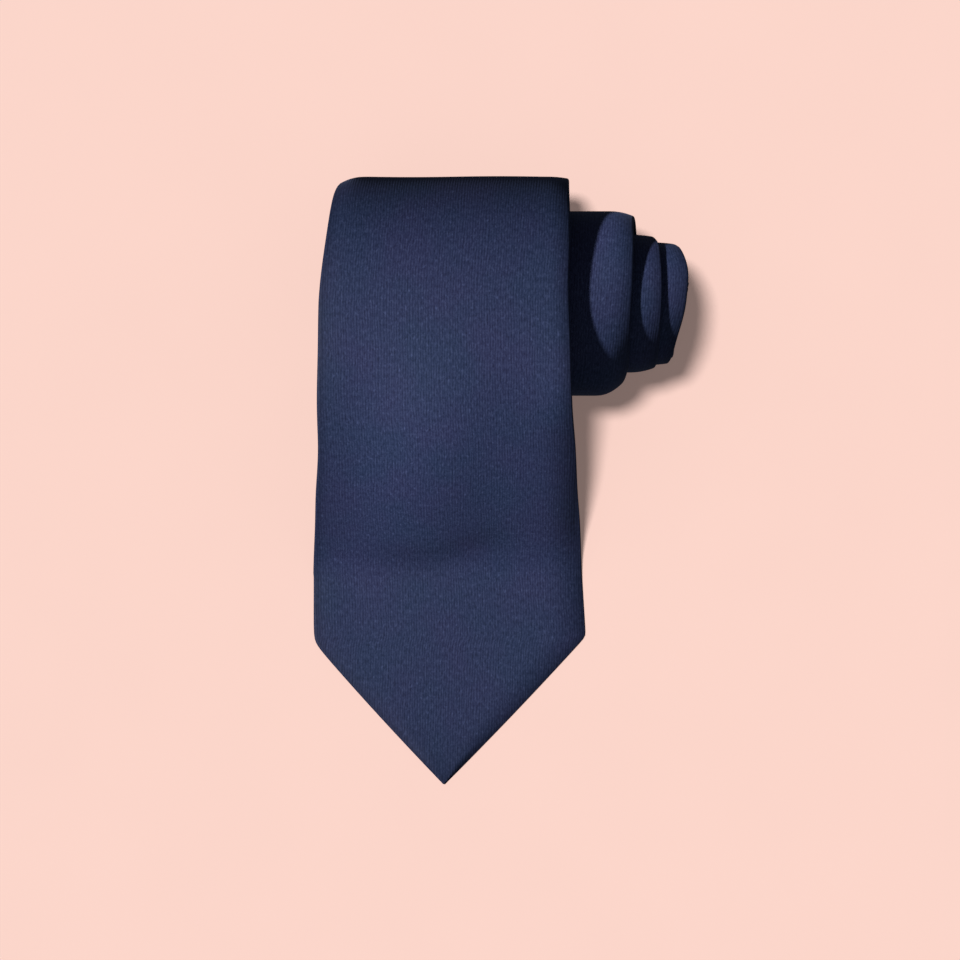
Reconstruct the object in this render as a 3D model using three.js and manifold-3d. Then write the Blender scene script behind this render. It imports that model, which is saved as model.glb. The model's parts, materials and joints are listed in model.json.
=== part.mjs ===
// A necktie rolled up for display. The tail and neck are wound into a roll that is pulled out
// sideways, turn by turn, and the pointed blade drapes from the top of the roll to the table.
//
// Millimetres. +Z is up and the table is z = 0. The tip points along -Y, and the roll's turns
// step out along +X. The origin is the middle of the underside of the whole object's box.
//
// The tie is one strip. A station along it holds the outer (front) surface's point in the YZ
// plane, the direction from the front to the back of the strip, and the X of both edges. Every
// layer is a cross-section in (x, depth) swept along the stations. The strip is a general
// cylinder along X, so that the turns of the roll can slide sideways past each other.

import * as THREE from 'three';
import { mergeVertices } from 'three/addons/utils/BufferGeometryUtils.js';
import Module from 'manifold-3d';

const wasm = await Module();
wasm.setup();

// ---- Driving dimensions ----

// Layers, as depths into the strip
const SILK = 0.3;
const LAYER_GAP = 0.1;
const TIPPING = 0.15;
const BLADE_THICKNESS = 2.4;
const EDGE_ROOM = 0.6; // between a silk fold's inner face and the interlining's edge
const SLIT = 1.2; // between the two folded edges that meet down the back
const STITCH_WIDTH = 0.7;
const CUT_GAP = 0.3; // between two stretches of the strip

// The flat, pointed end of the blade
const TIP = { x: -18.3, y: -99.4 };
const SHOULDER = { left: { x: -61.5, y: -52.3 }, right: { x: 28.5, y: -50.3 } };
const DRAPE_START = { y: -30.5, left: -61.3, right: 27.2 };
const HEM = 9;
const WINDOW_SHOULDER_SHARE = 0.78; // of the half width that the back opening spans at its widest
const WINDOW_APEX_Y = -37;

// The roll, about an axis along X
const AXIS = { y: 58.3, z: 27.3 };
// Outer radius at each quarter turn: top, far, bottom, near, top, ... from the blade inwards
const OUTER_RADII = [31, 41.1, 27.3, 29.8, 25.3, 29.8, 24.8, 22.3, 22.2, 22.2, 22.4, 19.9, 19.9, 19.75,
  20.1];
const TURN_GAP = 0.2; // between the wound layers further in
const LAST_QUARTER = 52;
const TURN_ENDS = { outer: 2, first: 6, second: 10, third: 14, neck: 24 };
const FINE_STEPS = 6; // stations in a quarter turn, down to the roll's third turn
const CORE_STEPS = 4;
const COARSE_STEPS = 2;
const COARSE_RADIUS = 9;

// The drape between the roll's top and the table, as the reach of its two curve handles
const DRAPE_HANDLES = { bottom: 12, top: 60 };
const DRAPE_STATIONS = 18;

// The blunt nose that the roll's inner turns step out into, its peak a little beyond the axis
const NOSE = { x: 61, depth: 8.4, radius: 19, peak: 5 };

// Strip thickness by quarter turn, strip width by length from the tip, and the right-hand edge
const THICKNESS = curve([[0, 2.4], [2, 2.4], [4, 2.2], [6, 2], [8, 1.9], [10, 1.8], [12, 1.6],
  [14, 1.55]]);
const WIDTH = curve([[49, 90], [70, 88.5], [105, 84.8], [131, 82], [178, 79.2], [225, 74.8],
  [300, 66.5], [460, 56], [620, 46.5], [760, 40.5], [900, 37.5], [1000, 37.5], [1200, 43],
  [1360, 50]]);
const DRAPE_RIGHT = curve([[69, 27.2], [84, 26.5], [105, 25.2], [123, 24], [145, 22.9], [178, 22.1]]);
const ROLL_RIGHT = curve([[0, 22.1], [1.4, 22], [2, 29.5], [3, 39.5], [4, 42], [5, 43.4], [6, 47.2],
  [7, 50.1], [8, 51.2], [8.6, 51], [9, 49.4], [10, 52.6], [11, 54.3], [11.5, 55.8], [12, 59.2],
  [12.3, 60.1], [12.7, 58.2], [13, 56], [15, 55.6]]);

// The pointed tail end
const TAIL_POINT_LENGTH = 22;
const TAIL_POINT_WIDTH = 6;
const TAIL_TIPPING_LENGTH = 60;
const TAIL_TIPPING_START = 6; // from the very end
const INTERLINING_END_ROOM = 9;

// Small pieces on the back of the drape, by length from the tip
const KEEPER = { centre: 132, length: 14, halfWidth: 28, wall: 0.9, clear: 0.3, bulge: 1.6, steps: 8 };
const KEEPER_TACK = { length: 9, width: 2.4, height: 0.5 };
const LABEL = { start: 92, end: 121, width: 24, thickness: 0.35, clear: 0.5 };
const LABEL_STITCH = { width: 20, length: 0.8, height: 0.45 };
const TACK = { halfWidth: 3, length: 1.6, depth: 0.25 };
const SEAM = { gap: 1.2, length: 0.5, inset: 1.5 };
const THREAD_ROOM = 0.03; // how far a thread piece stays from the cloth around it
const SHORTEST_STEP = 0.05; // the least distance between a cut and the next station

const NAVY_SILK = { color: 0x2b3150, roughness: 0.55, metalness: 0 };
const LINING = { color: 0x20253d, roughness: 0.4, metalness: 0 };
const WOOL = { color: 0xd9d2c2, roughness: 0.95, metalness: 0 };
const THREAD = { color: 0x1c2138, roughness: 0.6, metalness: 0 };
const SATIN = { color: 0xe8e6e0, roughness: 0.45, metalness: 0 };

// ---- Small mathematics ----

/** A smooth curve through points [x, y] that never overshoots them, flat beyond both ends. */
function curve(points) {
  const slopes = points.slice(1).map(([x, y], i) => (y - points[i][1]) / (x - points[i][0]));
  const tangents = points.map((_, i) => {
    const before = slopes[i - 1];
    const after = slopes[i];
    if (before === undefined) return after;
    if (after === undefined) return before;
    return before * after <= 0 ? 0 : (2 * before * after) / (before + after);
  });
  return (x) => {
    if (x <= points[0][0]) return points[0][1];
    const i = points.findIndex(([at]) => at > x) - 1;
    if (i < 0) return points[points.length - 1][1];
    const [x0, y0] = points[i];
    const [x1, y1] = points[i + 1];
    const t = (x - x0) / (x1 - x0);
    const back = 1 - t;
    const bend0 = y0 + ((x1 - x0) / 3) * tangents[i];
    const bend1 = y1 - ((x1 - x0) / 3) * tangents[i + 1];
    return back ** 3 * y0 + 3 * back ** 2 * t * bend0 + 3 * back * t ** 2 * bend1 + t ** 3 * y1;
  };
}

/** The roll's outer radius after some quarter turns; the turns further in follow the ones outside. */
function radius(quarter) {
  const cardinal = (n) =>
    n < OUTER_RADII.length ? OUTER_RADII[n] : cardinal(n - 4) - THICKNESS(n - 4) - TURN_GAP;
  const n = Math.floor(quarter);
  const share = Math.sin(((quarter - n) * Math.PI) / 2) ** 2;
  return cardinal(n) * (1 - share) + cardinal(n + 1) * share;
}

// ---- Stations along the strip ----

/** A station of the roll. Quarter 0 is its top, 1 its far side, 2 its bottom and 3 its near side. */
function rollStation(quarter) {
  const angle = (quarter * Math.PI) / 2;
  const r = radius(quarter);
  const out = { y: Math.sin(angle), z: Math.cos(angle) };
  const fromPeak = Math.hypot(r * out.y - NOSE.peak, r * out.z);
  const nose = NOSE.x - NOSE.depth * (fromPeak / NOSE.radius) ** 2;
  return {
    quarter,
    y: AXIS.y + r * out.y,
    z: AXIS.z + r * out.z,
    inward: { y: -out.y, z: -out.z },
    thickness: THICKNESS(quarter),
    right: quarter < TURN_ENDS.second + 2 ? ROLL_RIGHT(quarter) : Math.max(nose, ROLL_RIGHT(quarter)),
  };
}

/** The quarter turns at which the roll has stations, from one whole quarter to another. */
function quarters(from, to) {
  const list = [];
  for (let whole = from; whole < to; whole++) {
    let steps = radius(whole) < COARSE_RADIUS ? COARSE_STEPS : CORE_STEPS;
    if (whole < TURN_ENDS.second) steps = FINE_STEPS;
    for (let i = 0; i < steps; i++) list.push(whole + i / steps);
  }
  list.push(to);
  return list;
}

/** The stations of the drape, from the table up to the roll's top, on one cubic curve. */
function drapeStations() {
  const top = AXIS.z + OUTER_RADII[0];
  const path = new THREE.CubicBezierCurve3(
    new THREE.Vector3(0, DRAPE_START.y, BLADE_THICKNESS),
    new THREE.Vector3(0, DRAPE_START.y + DRAPE_HANDLES.bottom, BLADE_THICKNESS),
    new THREE.Vector3(0, AXIS.y - DRAPE_HANDLES.top, top),
    new THREE.Vector3(0, AXIS.y, top),
  );
  return Array.from({ length: DRAPE_STATIONS + 1 }, (_, i) => {
    const t = i / DRAPE_STATIONS;
    const point = path.getPoint(t);
    const along = path.getTangent(t);
    return {
      y: point.y,
      z: point.z,
      inward: { y: along.z, z: -along.y },
      thickness: BLADE_THICKNESS,
    };
  });
}

/** Adds each station's length from the tip, and both edges where they aren't there yet. */
function measure(stations, startLength) {
  let length = startLength;
  stations.forEach((station, i) => {
    if (i) length += Math.hypot(station.y - stations[i - 1].y, station.z - stations[i - 1].z);
    station.length = length;
    if (station.right === undefined) station.right = DRAPE_RIGHT(length);
    station.left = station.right - WIDTH(length);
  });
  return stations;
}

/** Narrows both edges to the tail's point. */
function pointTail(stations) {
  const end = stations[stations.length - 1].length;
  for (const station of stations) {
    const toEnd = end - station.length;
    if (toEnd >= TAIL_POINT_LENGTH) continue;
    const wide = station.right - station.left;
    const narrow = TAIL_POINT_WIDTH + (wide - TAIL_POINT_WIDTH) * (toEnd / TAIL_POINT_LENGTH);
    station.left += (wide - narrow) / 2;
    station.right -= (wide - narrow) / 2;
  }
  return stations;
}

/** A station between two others. */
function between(a, b, share) {
  const mix = (x, y) => x + (y - x) * share;
  const inward = new THREE.Vector2(mix(a.inward.y, b.inward.y), mix(a.inward.z, b.inward.z)).normalize();
  return {
    quarter: a.quarter === undefined ? undefined : mix(a.quarter, b.quarter),
    y: mix(a.y, b.y),
    z: mix(a.z, b.z),
    inward: { y: inward.x, z: inward.y },
    thickness: mix(a.thickness, b.thickness),
    length: mix(a.length, b.length),
    left: mix(a.left, b.left),
    right: mix(a.right, b.right),
  };
}

/** The stretch of stations between two lengths from the tip, cut exactly there. */
function stretch(stations, from, to) {
  const at = (length) => {
    const i = stations.findIndex((s) => s.length > length);
    if (i <= 0) return i < 0 ? stations[stations.length - 1] : stations[0];
    const [a, b] = [stations[i - 1], stations[i]];
    return between(a, b, (length - a.length) / (b.length - a.length));
  };
  const inside = stations.filter(
    (s) => s.length > from + SHORTEST_STEP && s.length < to - SHORTEST_STEP);
  return [at(from), ...inside, at(to)];
}

// ---- Turning sections and outlines into meshes ----

/** A closed body from rings of points that all have the same order, with both ends capped. */
function loft(rings, section) {
  const count = section.length;
  const positions = rings.flatMap((ring) => ring.flatMap((p) => [p.x, p.y, p.z]));
  const index = [];
  for (let r = 0; r + 1 < rings.length; r++) {
    for (let i = 0; i < count; i++) {
      const j = (i + 1) % count;
      const [a, b, c, d] = [r * count + i, r * count + j, (r + 1) * count + j, (r + 1) * count + i];
      index.push(a, b, c, a, c, d);
    }
  }
  const flat = section.map(([x, depth]) => new THREE.Vector2(x, depth));
  const turn = Math.sign(THREE.ShapeUtils.area(flat));
  const last = (rings.length - 1) * count;
  for (const [a, b, c] of THREE.ShapeUtils.triangulateShape(flat, [])) {
    const same = Math.sign(THREE.ShapeUtils.area([flat[a], flat[b], flat[c]])) === turn;
    const [p, q] = same ? [b, c] : [c, b];
    index.push(a, q, p, last + a, last + p, last + q);
  }
  const geometry = new THREE.BufferGeometry();
  geometry.setAttribute('position', new THREE.Float32BufferAttribute(positions, 3));
  geometry.setIndex(signedVolume(positions, index) < 0 ? index.reverse() : index);
  geometry.computeVertexNormals();
  return geometry;
}

/** Six times the volume inside a closed mesh, negative where its faces point in. */
function signedVolume(positions, index) {
  const corner = (i) => new THREE.Vector3().fromArray(positions, 3 * i);
  let sum = 0;
  for (let i = 0; i < index.length; i += 3) {
    const [a, b, c] = [corner(index[i]), corner(index[i + 1]), corner(index[i + 2])];
    sum += a.dot(b.cross(c));
  }
  return sum;
}

/** Sweeps a section along stations; section(station) gives its points as [x, depth]. */
function sweep(stations, section) {
  const rings = stations.map((station) =>
    section(station).map(([x, depth]) => ({
      x,
      y: station.y + station.inward.y * depth,
      z: station.z + station.inward.z * depth,
    })),
  );
  return loft(rings, section(stations[Math.floor(stations.length / 2)]));
}

/** A flat slab between two heights with an outline in XY. */
function slab(outline, low, high) {
  const shape = new THREE.Shape(outline.map(([x, y]) => new THREE.Vector2(x, y)));
  const extrusion = { depth: high - low, bevelEnabled: false };
  return new THREE.ExtrudeGeometry(shape, extrusion).translate(0, 0, low);
}

/** Three.js geometry as a manifold-3d solid. */
function solid(geometry) {
  const plain = geometry.clone();
  plain.deleteAttribute('normal');
  plain.deleteAttribute('uv');
  const merged = mergeVertices(plain, 1e-4);
  return new wasm.Manifold(new wasm.Mesh({
    numProp: 3,
    vertProperties: new Float32Array(merged.attributes.position.array),
    triVerts: new Uint32Array(merged.index.array),
  }));
}

/** A manifold-3d solid as three.js geometry. */
function geometryOf(body) {
  const mesh = body.getMesh();
  const geometry = new THREE.BufferGeometry();
  geometry.setAttribute('position', new THREE.BufferAttribute(new Float32Array(mesh.vertProperties), 3));
  geometry.setIndex(new THREE.BufferAttribute(new Uint32Array(mesh.triVerts), 1));
  geometry.computeVertexNormals();
  return geometry;
}

/** A convex outline, counter-clockwise, with each edge moved in by its own distance. */
function inset(outline, distances) {
  const lines = outline.map(([x, y], i) => {
    const [nextX, nextY] = outline[(i + 1) % outline.length];
    const long = Math.hypot(nextX - x, nextY - y);
    const normal = [-(nextY - y) / long, (nextX - x) / long];
    return { normal, reach: normal[0] * x + normal[1] * y + distances[i] };
  });
  return lines.map((after, i) => {
    const before = lines[(i + lines.length - 1) % lines.length];
    const cross = before.normal[0] * after.normal[1] - before.normal[1] * after.normal[0];
    return [
      (before.reach * after.normal[1] - after.reach * before.normal[1]) / cross,
      (after.reach * before.normal[0] - before.reach * after.normal[0]) / cross,
    ];
  });
}

// ---- Cross-sections, as [x, depth] ----

const middle = (station) => (station.left + station.right) / 2;

/** The silk: a front wall, two folded edges, and two back flaps with the slit between them. */
function silkSection(station) {
  const { left, right, thickness } = station;
  const centre = middle(station);
  const slitLeft = centre - SLIT / 2;
  const slitRight = centre + SLIT / 2;
  return [
    [left, 0], [right, 0], [right, thickness],
    [slitRight, thickness], [slitRight, thickness - SILK], [right - SILK, thickness - SILK],
    [right - SILK, SILK], [left + SILK, SILK],
    [left + SILK, thickness - SILK], [slitLeft, thickness - SILK], [slitLeft, thickness],
    [left, thickness],
  ];
}

/** A plain band between two depths, some way in from the folded edges. */
function band(edgeRoom, top, bottom) {
  return (station) => {
    const left = station.left + edgeRoom;
    const right = station.right - edgeRoom;
    const low = bottom(station.thickness);
    return [[left, top], [right, top], [right, low], [left, low]];
  };
}

const interliningBottom = (thickness) => thickness - SILK - 2 * LAYER_GAP - TIPPING;
const interliningSection = band(SILK + EDGE_ROOM, SILK + LAYER_GAP, interliningBottom);

function stitchSection(station) {
  const low = station.thickness - SILK + THREAD_ROOM;
  const high = station.thickness - THREAD_ROOM;
  const left = middle(station) - STITCH_WIDTH / 2;
  const right = middle(station) + STITCH_WIDTH / 2;
  return [[left, low], [right, low], [right, high], [left, high]];
}

/** The tail's lining, between its interlining and its back flaps. */
function tailTippingSection(station) {
  const top = interliningBottom(station.thickness) + LAYER_GAP;
  const left = station.left + SILK + EDGE_ROOM;
  const right = station.right - SILK - EDGE_ROOM;
  return [[left, top], [right, top], [right, top + TIPPING], [left, top + TIPPING]];
}

/** The ridge of a join between two silk panels, in the front wall only. */
function seamSection(station) {
  const left = station.left + SEAM.inset;
  const right = station.right - SEAM.inset;
  const [low, high] = [THREAD_ROOM, SILK - THREAD_ROOM];
  return [[left, low], [right, low], [right, high], [left, high]];
}

/** The keeper: a strip across the back, sewn at its ends and bowed away in the middle. */
function keeperSection(station) {
  const centre = middle(station);
  const base = station.thickness + KEEPER.clear;
  const outer = [];
  const inner = [];
  for (let i = 0; i <= KEEPER.steps; i++) {
    const share = (2 * i) / KEEPER.steps - 1;
    const bow = KEEPER.bulge * Math.cos((share * Math.PI) / 2) ** 0.5;
    outer.push([centre + share * KEEPER.halfWidth, base + bow + KEEPER.wall]);
    inner.push([centre + share * KEEPER.halfWidth, base + bow]);
  }
  return [...inner, ...outer.reverse()];
}

/** A small block on the back of the strip, from one depth below the back to another. */
function blockSection(offset, halfWidth, near, far) {
  return (station) => {
    const x = middle(station) + offset;
    const [low, high] = [station.thickness + near, station.thickness + far];
    return [[x - halfWidth, low], [x + halfWidth, low], [x + halfWidth, high], [x - halfWidth, high]];
  };
}

// ---- The whole strip ----

const tipLength = DRAPE_START.y - TIP.y;
const drape = measure(drapeStations(), tipLength);
const drapeEnd = drape[drape.length - 1].length;
const roll = pointTail(measure(quarters(0, LAST_QUARTER).map(rollStation), drapeEnd));
const tieLength = roll[roll.length - 1].length;
const lengthAt = (quarter) => roll.find((s) => Math.abs(s.quarter - quarter) < 1e-6).length;

const cuts = {
  tip: tipLength,
  drape: drapeEnd,
  outer: lengthAt(TURN_ENDS.outer),
  first: lengthAt(TURN_ENDS.first),
  second: lengthAt(TURN_ENDS.second),
  third: lengthAt(TURN_ENDS.third),
  neck: lengthAt(TURN_ENDS.neck),
};

/** A stretch of the roll or drape between two cuts, half a gap short of each. */
function open(stations, from, to, gapBefore = CUT_GAP, gapAfter = CUT_GAP) {
  return stretch(stations, from + gapBefore / 2, to - gapAfter / 2);
}

const runs = {
  drape: open(drape, cuts.tip, cuts.drape),
  outer: open(roll, cuts.drape, cuts.outer),
  first: open(roll, cuts.outer, cuts.first),
  second: open(roll, cuts.first, cuts.second),
  third: open(roll, cuts.second, cuts.third, CUT_GAP, SEAM.gap),
  neck: open(roll, cuts.third, cuts.neck, SEAM.gap, SEAM.gap),
  tail: open(roll, cuts.neck, tieLength, SEAM.gap, 0),
};

// ---- The scene ----

const necktie = new THREE.Group();
necktie.name = 'necktie';

function add(name, geometry, finish) {
  const mesh = new THREE.Mesh(geometry, new THREE.MeshStandardMaterial(finish));
  mesh.name = name;
  necktie.add(mesh);
}

/** The flat pointed end of the blade: silk with its back opening, lining, interlining and tack. */
function bladeTip() {
  const cutY = DRAPE_START.y - CUT_GAP / 2;
  const outline = [
    [TIP.x, TIP.y], [SHOULDER.right.x, SHOULDER.right.y], [DRAPE_START.right, cutY],
    [DRAPE_START.left, cutY], [SHOULDER.left.x, SHOULDER.left.y],
  ];
  const edges = (side, end) => inset(outline, [side, side, end, side, side]);
  const room = SILK + EDGE_ROOM;
  const centre = (DRAPE_START.left + DRAPE_START.right) / 2;
  const shoulderCentre = (SHOULDER.left.x + SHOULDER.right.x) / 2;
  const windowHalf = ((SHOULDER.right.x - SHOULDER.left.x) / 2) * WINDOW_SHOULDER_SHARE;
  const windowCorner = (side) =>
    [shoulderCentre + side * windowHalf, (side < 0 ? SHOULDER.left.y : SHOULDER.right.y) + HEM / 4];
  const backOpening = [
    [TIP.x, TIP.y + HEM * Math.SQRT2], windowCorner(1),
    [centre + SLIT / 2, WINDOW_APEX_Y], [centre + SLIT / 2, cutY + 1],
    [centre - SLIT / 2, cutY + 1], [centre - SLIT / 2, WINDOW_APEX_Y],
    windowCorner(-1),
  ];
  const tackY = WINDOW_APEX_Y + TACK.length;
  const tackBox = (grow) => slab([
    [centre - TACK.halfWidth - grow, tackY - TACK.length / 2 - grow],
    [centre + TACK.halfWidth + grow, tackY - TACK.length / 2 - grow],
    [centre + TACK.halfWidth + grow, tackY + TACK.length / 2 + grow],
    [centre - TACK.halfWidth - grow, tackY + TACK.length / 2 + grow],
  ], grow ? -1 : THREAD_ROOM, grow ? SILK + LAYER_GAP / 2 : TACK.depth);

  const silk = solid(slab(outline, 0, BLADE_THICKNESS))
    .subtract(solid(slab(edges(SILK, -1), SILK, BLADE_THICKNESS - SILK)))
    .subtract(solid(slab(backOpening, -1, SILK + LAYER_GAP / 2)))
    .subtract(solid(tackBox(LAYER_GAP)));
  const liningTop = SILK + LAYER_GAP + TIPPING;
  add('silk_blade_tip', geometryOf(silk), NAVY_SILK);
  add('blade_tipping', slab(edges(room, 0), SILK + LAYER_GAP, liningTop), LINING);
  add('interlining_blade_tip',
    slab(edges(room, 0), liningTop + LAYER_GAP, BLADE_THICKNESS - SILK - LAYER_GAP), WOOL);
  add('blade_bar_tack', tackBox(0), THREAD);
  const stitch = [
    [centre - STITCH_WIDTH / 2, tackY + TACK.length / 2 + CUT_GAP],
    [centre + STITCH_WIDTH / 2, tackY + TACK.length / 2 + CUT_GAP],
    [centre + STITCH_WIDTH / 2, cutY], [centre - STITCH_WIDTH / 2, cutY],
  ];
  add('slip_stitch_blade_tip', slab(stitch, THREAD_ROOM, SILK - THREAD_ROOM), THREAD);
}

/** The silk of each stretch behind the tip. */
function silkStretches() {
  const names = {
    drape: 'silk_blade_drape',
    outer: 'silk_outer_turn',
    first: 'silk_first_turn',
    second: 'silk_second_turn',
    third: 'silk_third_turn',
    neck: 'silk_neck',
    tail: 'silk_tail',
  };
  for (const [run, name] of Object.entries(names)) add(name, sweep(runs[run], silkSection), NAVY_SILK);
}

/** The interlining and the slip stitch, cut where the roll's turns part from each other. */
function insideStretches() {
  const core = open(roll, cuts.second, tieLength, CUT_GAP, 2 * INTERLINING_END_ROOM);
  const { drape: drapeRun, outer, first, second } = runs;
  const stretches = { drape: drapeRun, outer, first, second, core };
  for (const [name, stations] of Object.entries(stretches)) {
    add(`interlining_${name}`, sweep(stations, interliningSection), WOOL);
  }
  const stitches = {
    ...stretches,
    core: open(roll, cuts.second, tieLength, CUT_GAP, 2 * TAIL_POINT_LENGTH),
  };
  for (const [name, stations] of Object.entries(stitches)) {
    add(`slip_stitch_${name}`, sweep(stations, stitchSection), THREAD);
  }
}

/** The tail's lining and tack, and the joins between the three silk panels. */
function tailAndSeams() {
  const lining = stretch(roll, tieLength - TAIL_TIPPING_LENGTH, tieLength - TAIL_TIPPING_START);
  add('tail_tipping', sweep(lining, tailTippingSection), LINING);
  const tackAt = tieLength - TAIL_POINT_LENGTH + CUT_GAP;
  add('tail_bar_tack', sweep(stretch(roll, tackAt, tackAt + TACK.length), stitchSection), THREAD);
  for (const [name, cut] of [['neck_seam_blade_side', cuts.third], ['neck_seam_tail_side', cuts.neck]]) {
    add(name, sweep(stretch(roll, cut - SEAM.length / 2, cut + SEAM.length / 2), seamSection), THREAD);
  }
}

/** The keeper loop with its tacks, and the care label, on the back of the drape. */
function backPieces() {
  const keeperRun = stretch(
    drape, KEEPER.centre - KEEPER.length / 2, KEEPER.centre + KEEPER.length / 2);
  add('keeper_loop', sweep(keeperRun, keeperSection), NAVY_SILK);
  const tackRun = stretch(
    drape, KEEPER.centre - KEEPER_TACK.length / 2, KEEPER.centre + KEEPER_TACK.length / 2);
  const tackOffset = KEEPER.halfWidth + KEEPER_TACK.width / 2 + CUT_GAP;
  for (const [name, side] of [['keeper_tack_left', -1], ['keeper_tack_right', 1]]) {
    const section = blockSection(
      side * tackOffset, KEEPER_TACK.width / 2, THREAD_ROOM, KEEPER_TACK.height);
    add(name, sweep(tackRun, section), THREAD);
  }
  const labelSection = blockSection(0, LABEL.width / 2, LABEL.clear, LABEL.clear + LABEL.thickness);
  add('care_label', sweep(stretch(drape, LABEL.start, LABEL.end), labelSection), SATIN);
  const stitchRun = stretch(drape, LABEL.end + CUT_GAP, LABEL.end + CUT_GAP + LABEL_STITCH.length);
  const stitchBlock = blockSection(0, LABEL_STITCH.width / 2, THREAD_ROOM, LABEL_STITCH.height);
  add('care_label_stitch', sweep(stitchRun, stitchBlock), THREAD);
}

bladeTip();
silkStretches();
insideStretches();
tailAndSeams();
backPieces();

export default necktie;
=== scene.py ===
"""A navy silk necktie rolled up for display: the looks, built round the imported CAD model.

The tie is one strip of cloth. A table of stations along it says where the front of the strip is,
which way its back lies, how thick it is and where both edges are, with the same driving values as
the CAD part. Every soft piece is a stretch of that strip: silk, interlining and stitches alike.
"""

import json
import math

import bpy
import numpy as np
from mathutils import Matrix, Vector

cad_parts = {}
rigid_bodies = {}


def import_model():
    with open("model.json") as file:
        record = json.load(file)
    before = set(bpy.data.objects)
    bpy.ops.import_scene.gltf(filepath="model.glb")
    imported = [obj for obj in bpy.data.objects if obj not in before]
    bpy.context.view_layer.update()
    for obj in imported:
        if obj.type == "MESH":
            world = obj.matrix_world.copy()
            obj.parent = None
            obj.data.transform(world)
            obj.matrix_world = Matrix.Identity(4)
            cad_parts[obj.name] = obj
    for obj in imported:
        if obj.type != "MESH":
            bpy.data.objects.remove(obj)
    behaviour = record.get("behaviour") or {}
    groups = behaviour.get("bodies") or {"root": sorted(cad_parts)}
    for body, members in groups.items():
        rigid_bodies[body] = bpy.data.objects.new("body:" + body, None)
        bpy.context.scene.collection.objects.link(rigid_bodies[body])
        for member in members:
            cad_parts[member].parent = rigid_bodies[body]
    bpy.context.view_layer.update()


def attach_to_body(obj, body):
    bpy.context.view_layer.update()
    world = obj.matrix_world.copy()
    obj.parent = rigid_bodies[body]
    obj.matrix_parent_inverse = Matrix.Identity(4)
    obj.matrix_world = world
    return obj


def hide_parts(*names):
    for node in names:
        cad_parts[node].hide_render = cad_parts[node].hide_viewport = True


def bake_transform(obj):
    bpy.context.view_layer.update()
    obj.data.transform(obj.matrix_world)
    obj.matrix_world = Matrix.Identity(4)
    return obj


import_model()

MM = 0.001

# ---- The strip's driving values, in millimetres, as in the CAD part ----

BLADE_THICKNESS = 2.4
TIP = (-18.3, -99.4)
SHOULDER_LEFT, SHOULDER_RIGHT = (-61.5, -52.3), (28.5, -50.3)
DRAPE_START_Y, DRAPE_START_LEFT, DRAPE_START_RIGHT = -30.5, -61.3, 27.2
HEM = 9.0
WINDOW_SHOULDER_SHARE = 0.78
WINDOW_APEX_Y = -37.0
AXIS_Y, AXIS_Z = 58.3, 27.3
OUTER_RADII = [31, 41.1, 27.3, 29.8, 25.3, 29.8, 24.8, 22.3, 22.2, 22.2, 22.4, 19.9, 19.9, 19.75, 20.1]
TURN_GAP = 0.2
LAST_QUARTER = 52
DRAPE_HANDLES = (12.0, 60.0)
NOSE_START = 12  # the quarter turn from which the roll's right end is rounded
NOSE_X, NOSE_DEPTH, NOSE_RADIUS, NOSE_PEAK = 61.0, 8.4, 19.0, 5.0
THICKNESS = [(0, 2.4), (2, 2.4), (4, 2.2), (6, 2), (8, 1.9), (10, 1.8), (12, 1.6), (14, 1.55)]
WIDTH = [(49, 90), (70, 88.5), (105, 84.8), (131, 82), (178, 79.2), (225, 74.8), (300, 66.5),
         (460, 56), (620, 46.5), (760, 40.5), (900, 37.5), (1000, 37.5), (1200, 43), (1360, 50)]
DRAPE_RIGHT = [(69, 27.2), (84, 26.5), (105, 25.2), (123, 24), (145, 22.9), (178, 22.1)]
ROLL_RIGHT = [(0, 22.1), (1.4, 22), (2, 29.5), (3, 39.5), (4, 42), (5, 43.4), (6, 47.2), (7, 50.1),
              (8, 51.2), (8.6, 51), (9, 49.4), (10, 52.6), (11, 54.3), (11.5, 55.8), (12, 59.2),
              (12.3, 60.1), (12.7, 58.2), (13, 56), (15, 55.6)]
TAIL_POINT_LENGTH, TAIL_POINT_WIDTH = 22.0, 6.0
KEEPER_CENTRE, KEEPER_LENGTH, KEEPER_HALF_WIDTH = 132.0, 14.0, 28.0
KEEPER_THICKNESS = 0.95
LABEL_START, LABEL_END, LABEL_WIDTH = 92.0, 121.0, 24.0

# ---- Looks of the cloth, in millimetres ----

FIRST_LENGTH = 0.4  # where the blade's point starts, so that it stays a little blunt
SHOULDER_SOFTNESS = (1.9, 0.8)  # rounding of the left and right shoulders
SILK = 0.36  # thickness of one layer of silk
EDGE_ZONE = 11.0  # how far in from an edge the front starts to fall
EDGE_BOW = 0.5  # how far the blade's slanting edges stand out in their middle
EDGE_SHADE_WIDTH = 3.2  # how far the painted shade reaches in from a folded edge
FOOT_SOFTNESS = 5.0  # how far the bend at the foot of the drape is spread out
HEM_FOLD = 2 * SILK  # thickness of a turned-in edge
HEM_WIDTH = 7.0
INTERLINING_SHARE = 0.8  # its width as a share of the tie's
TAIL_TIPPING_SHARE = 0.7  # the same for the lining in the tail
TIPPING_INSET = 0.12  # how far the blade's lining stays in from the window's edge
SEAM_OPENING = 0.3  # half the gap at the sewn seam down the back
STITCH_SPACING = 8.5
RIB_PERIOD = 0.84
YARN_PERIOD = 0.55


# ---- The strip ----


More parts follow.
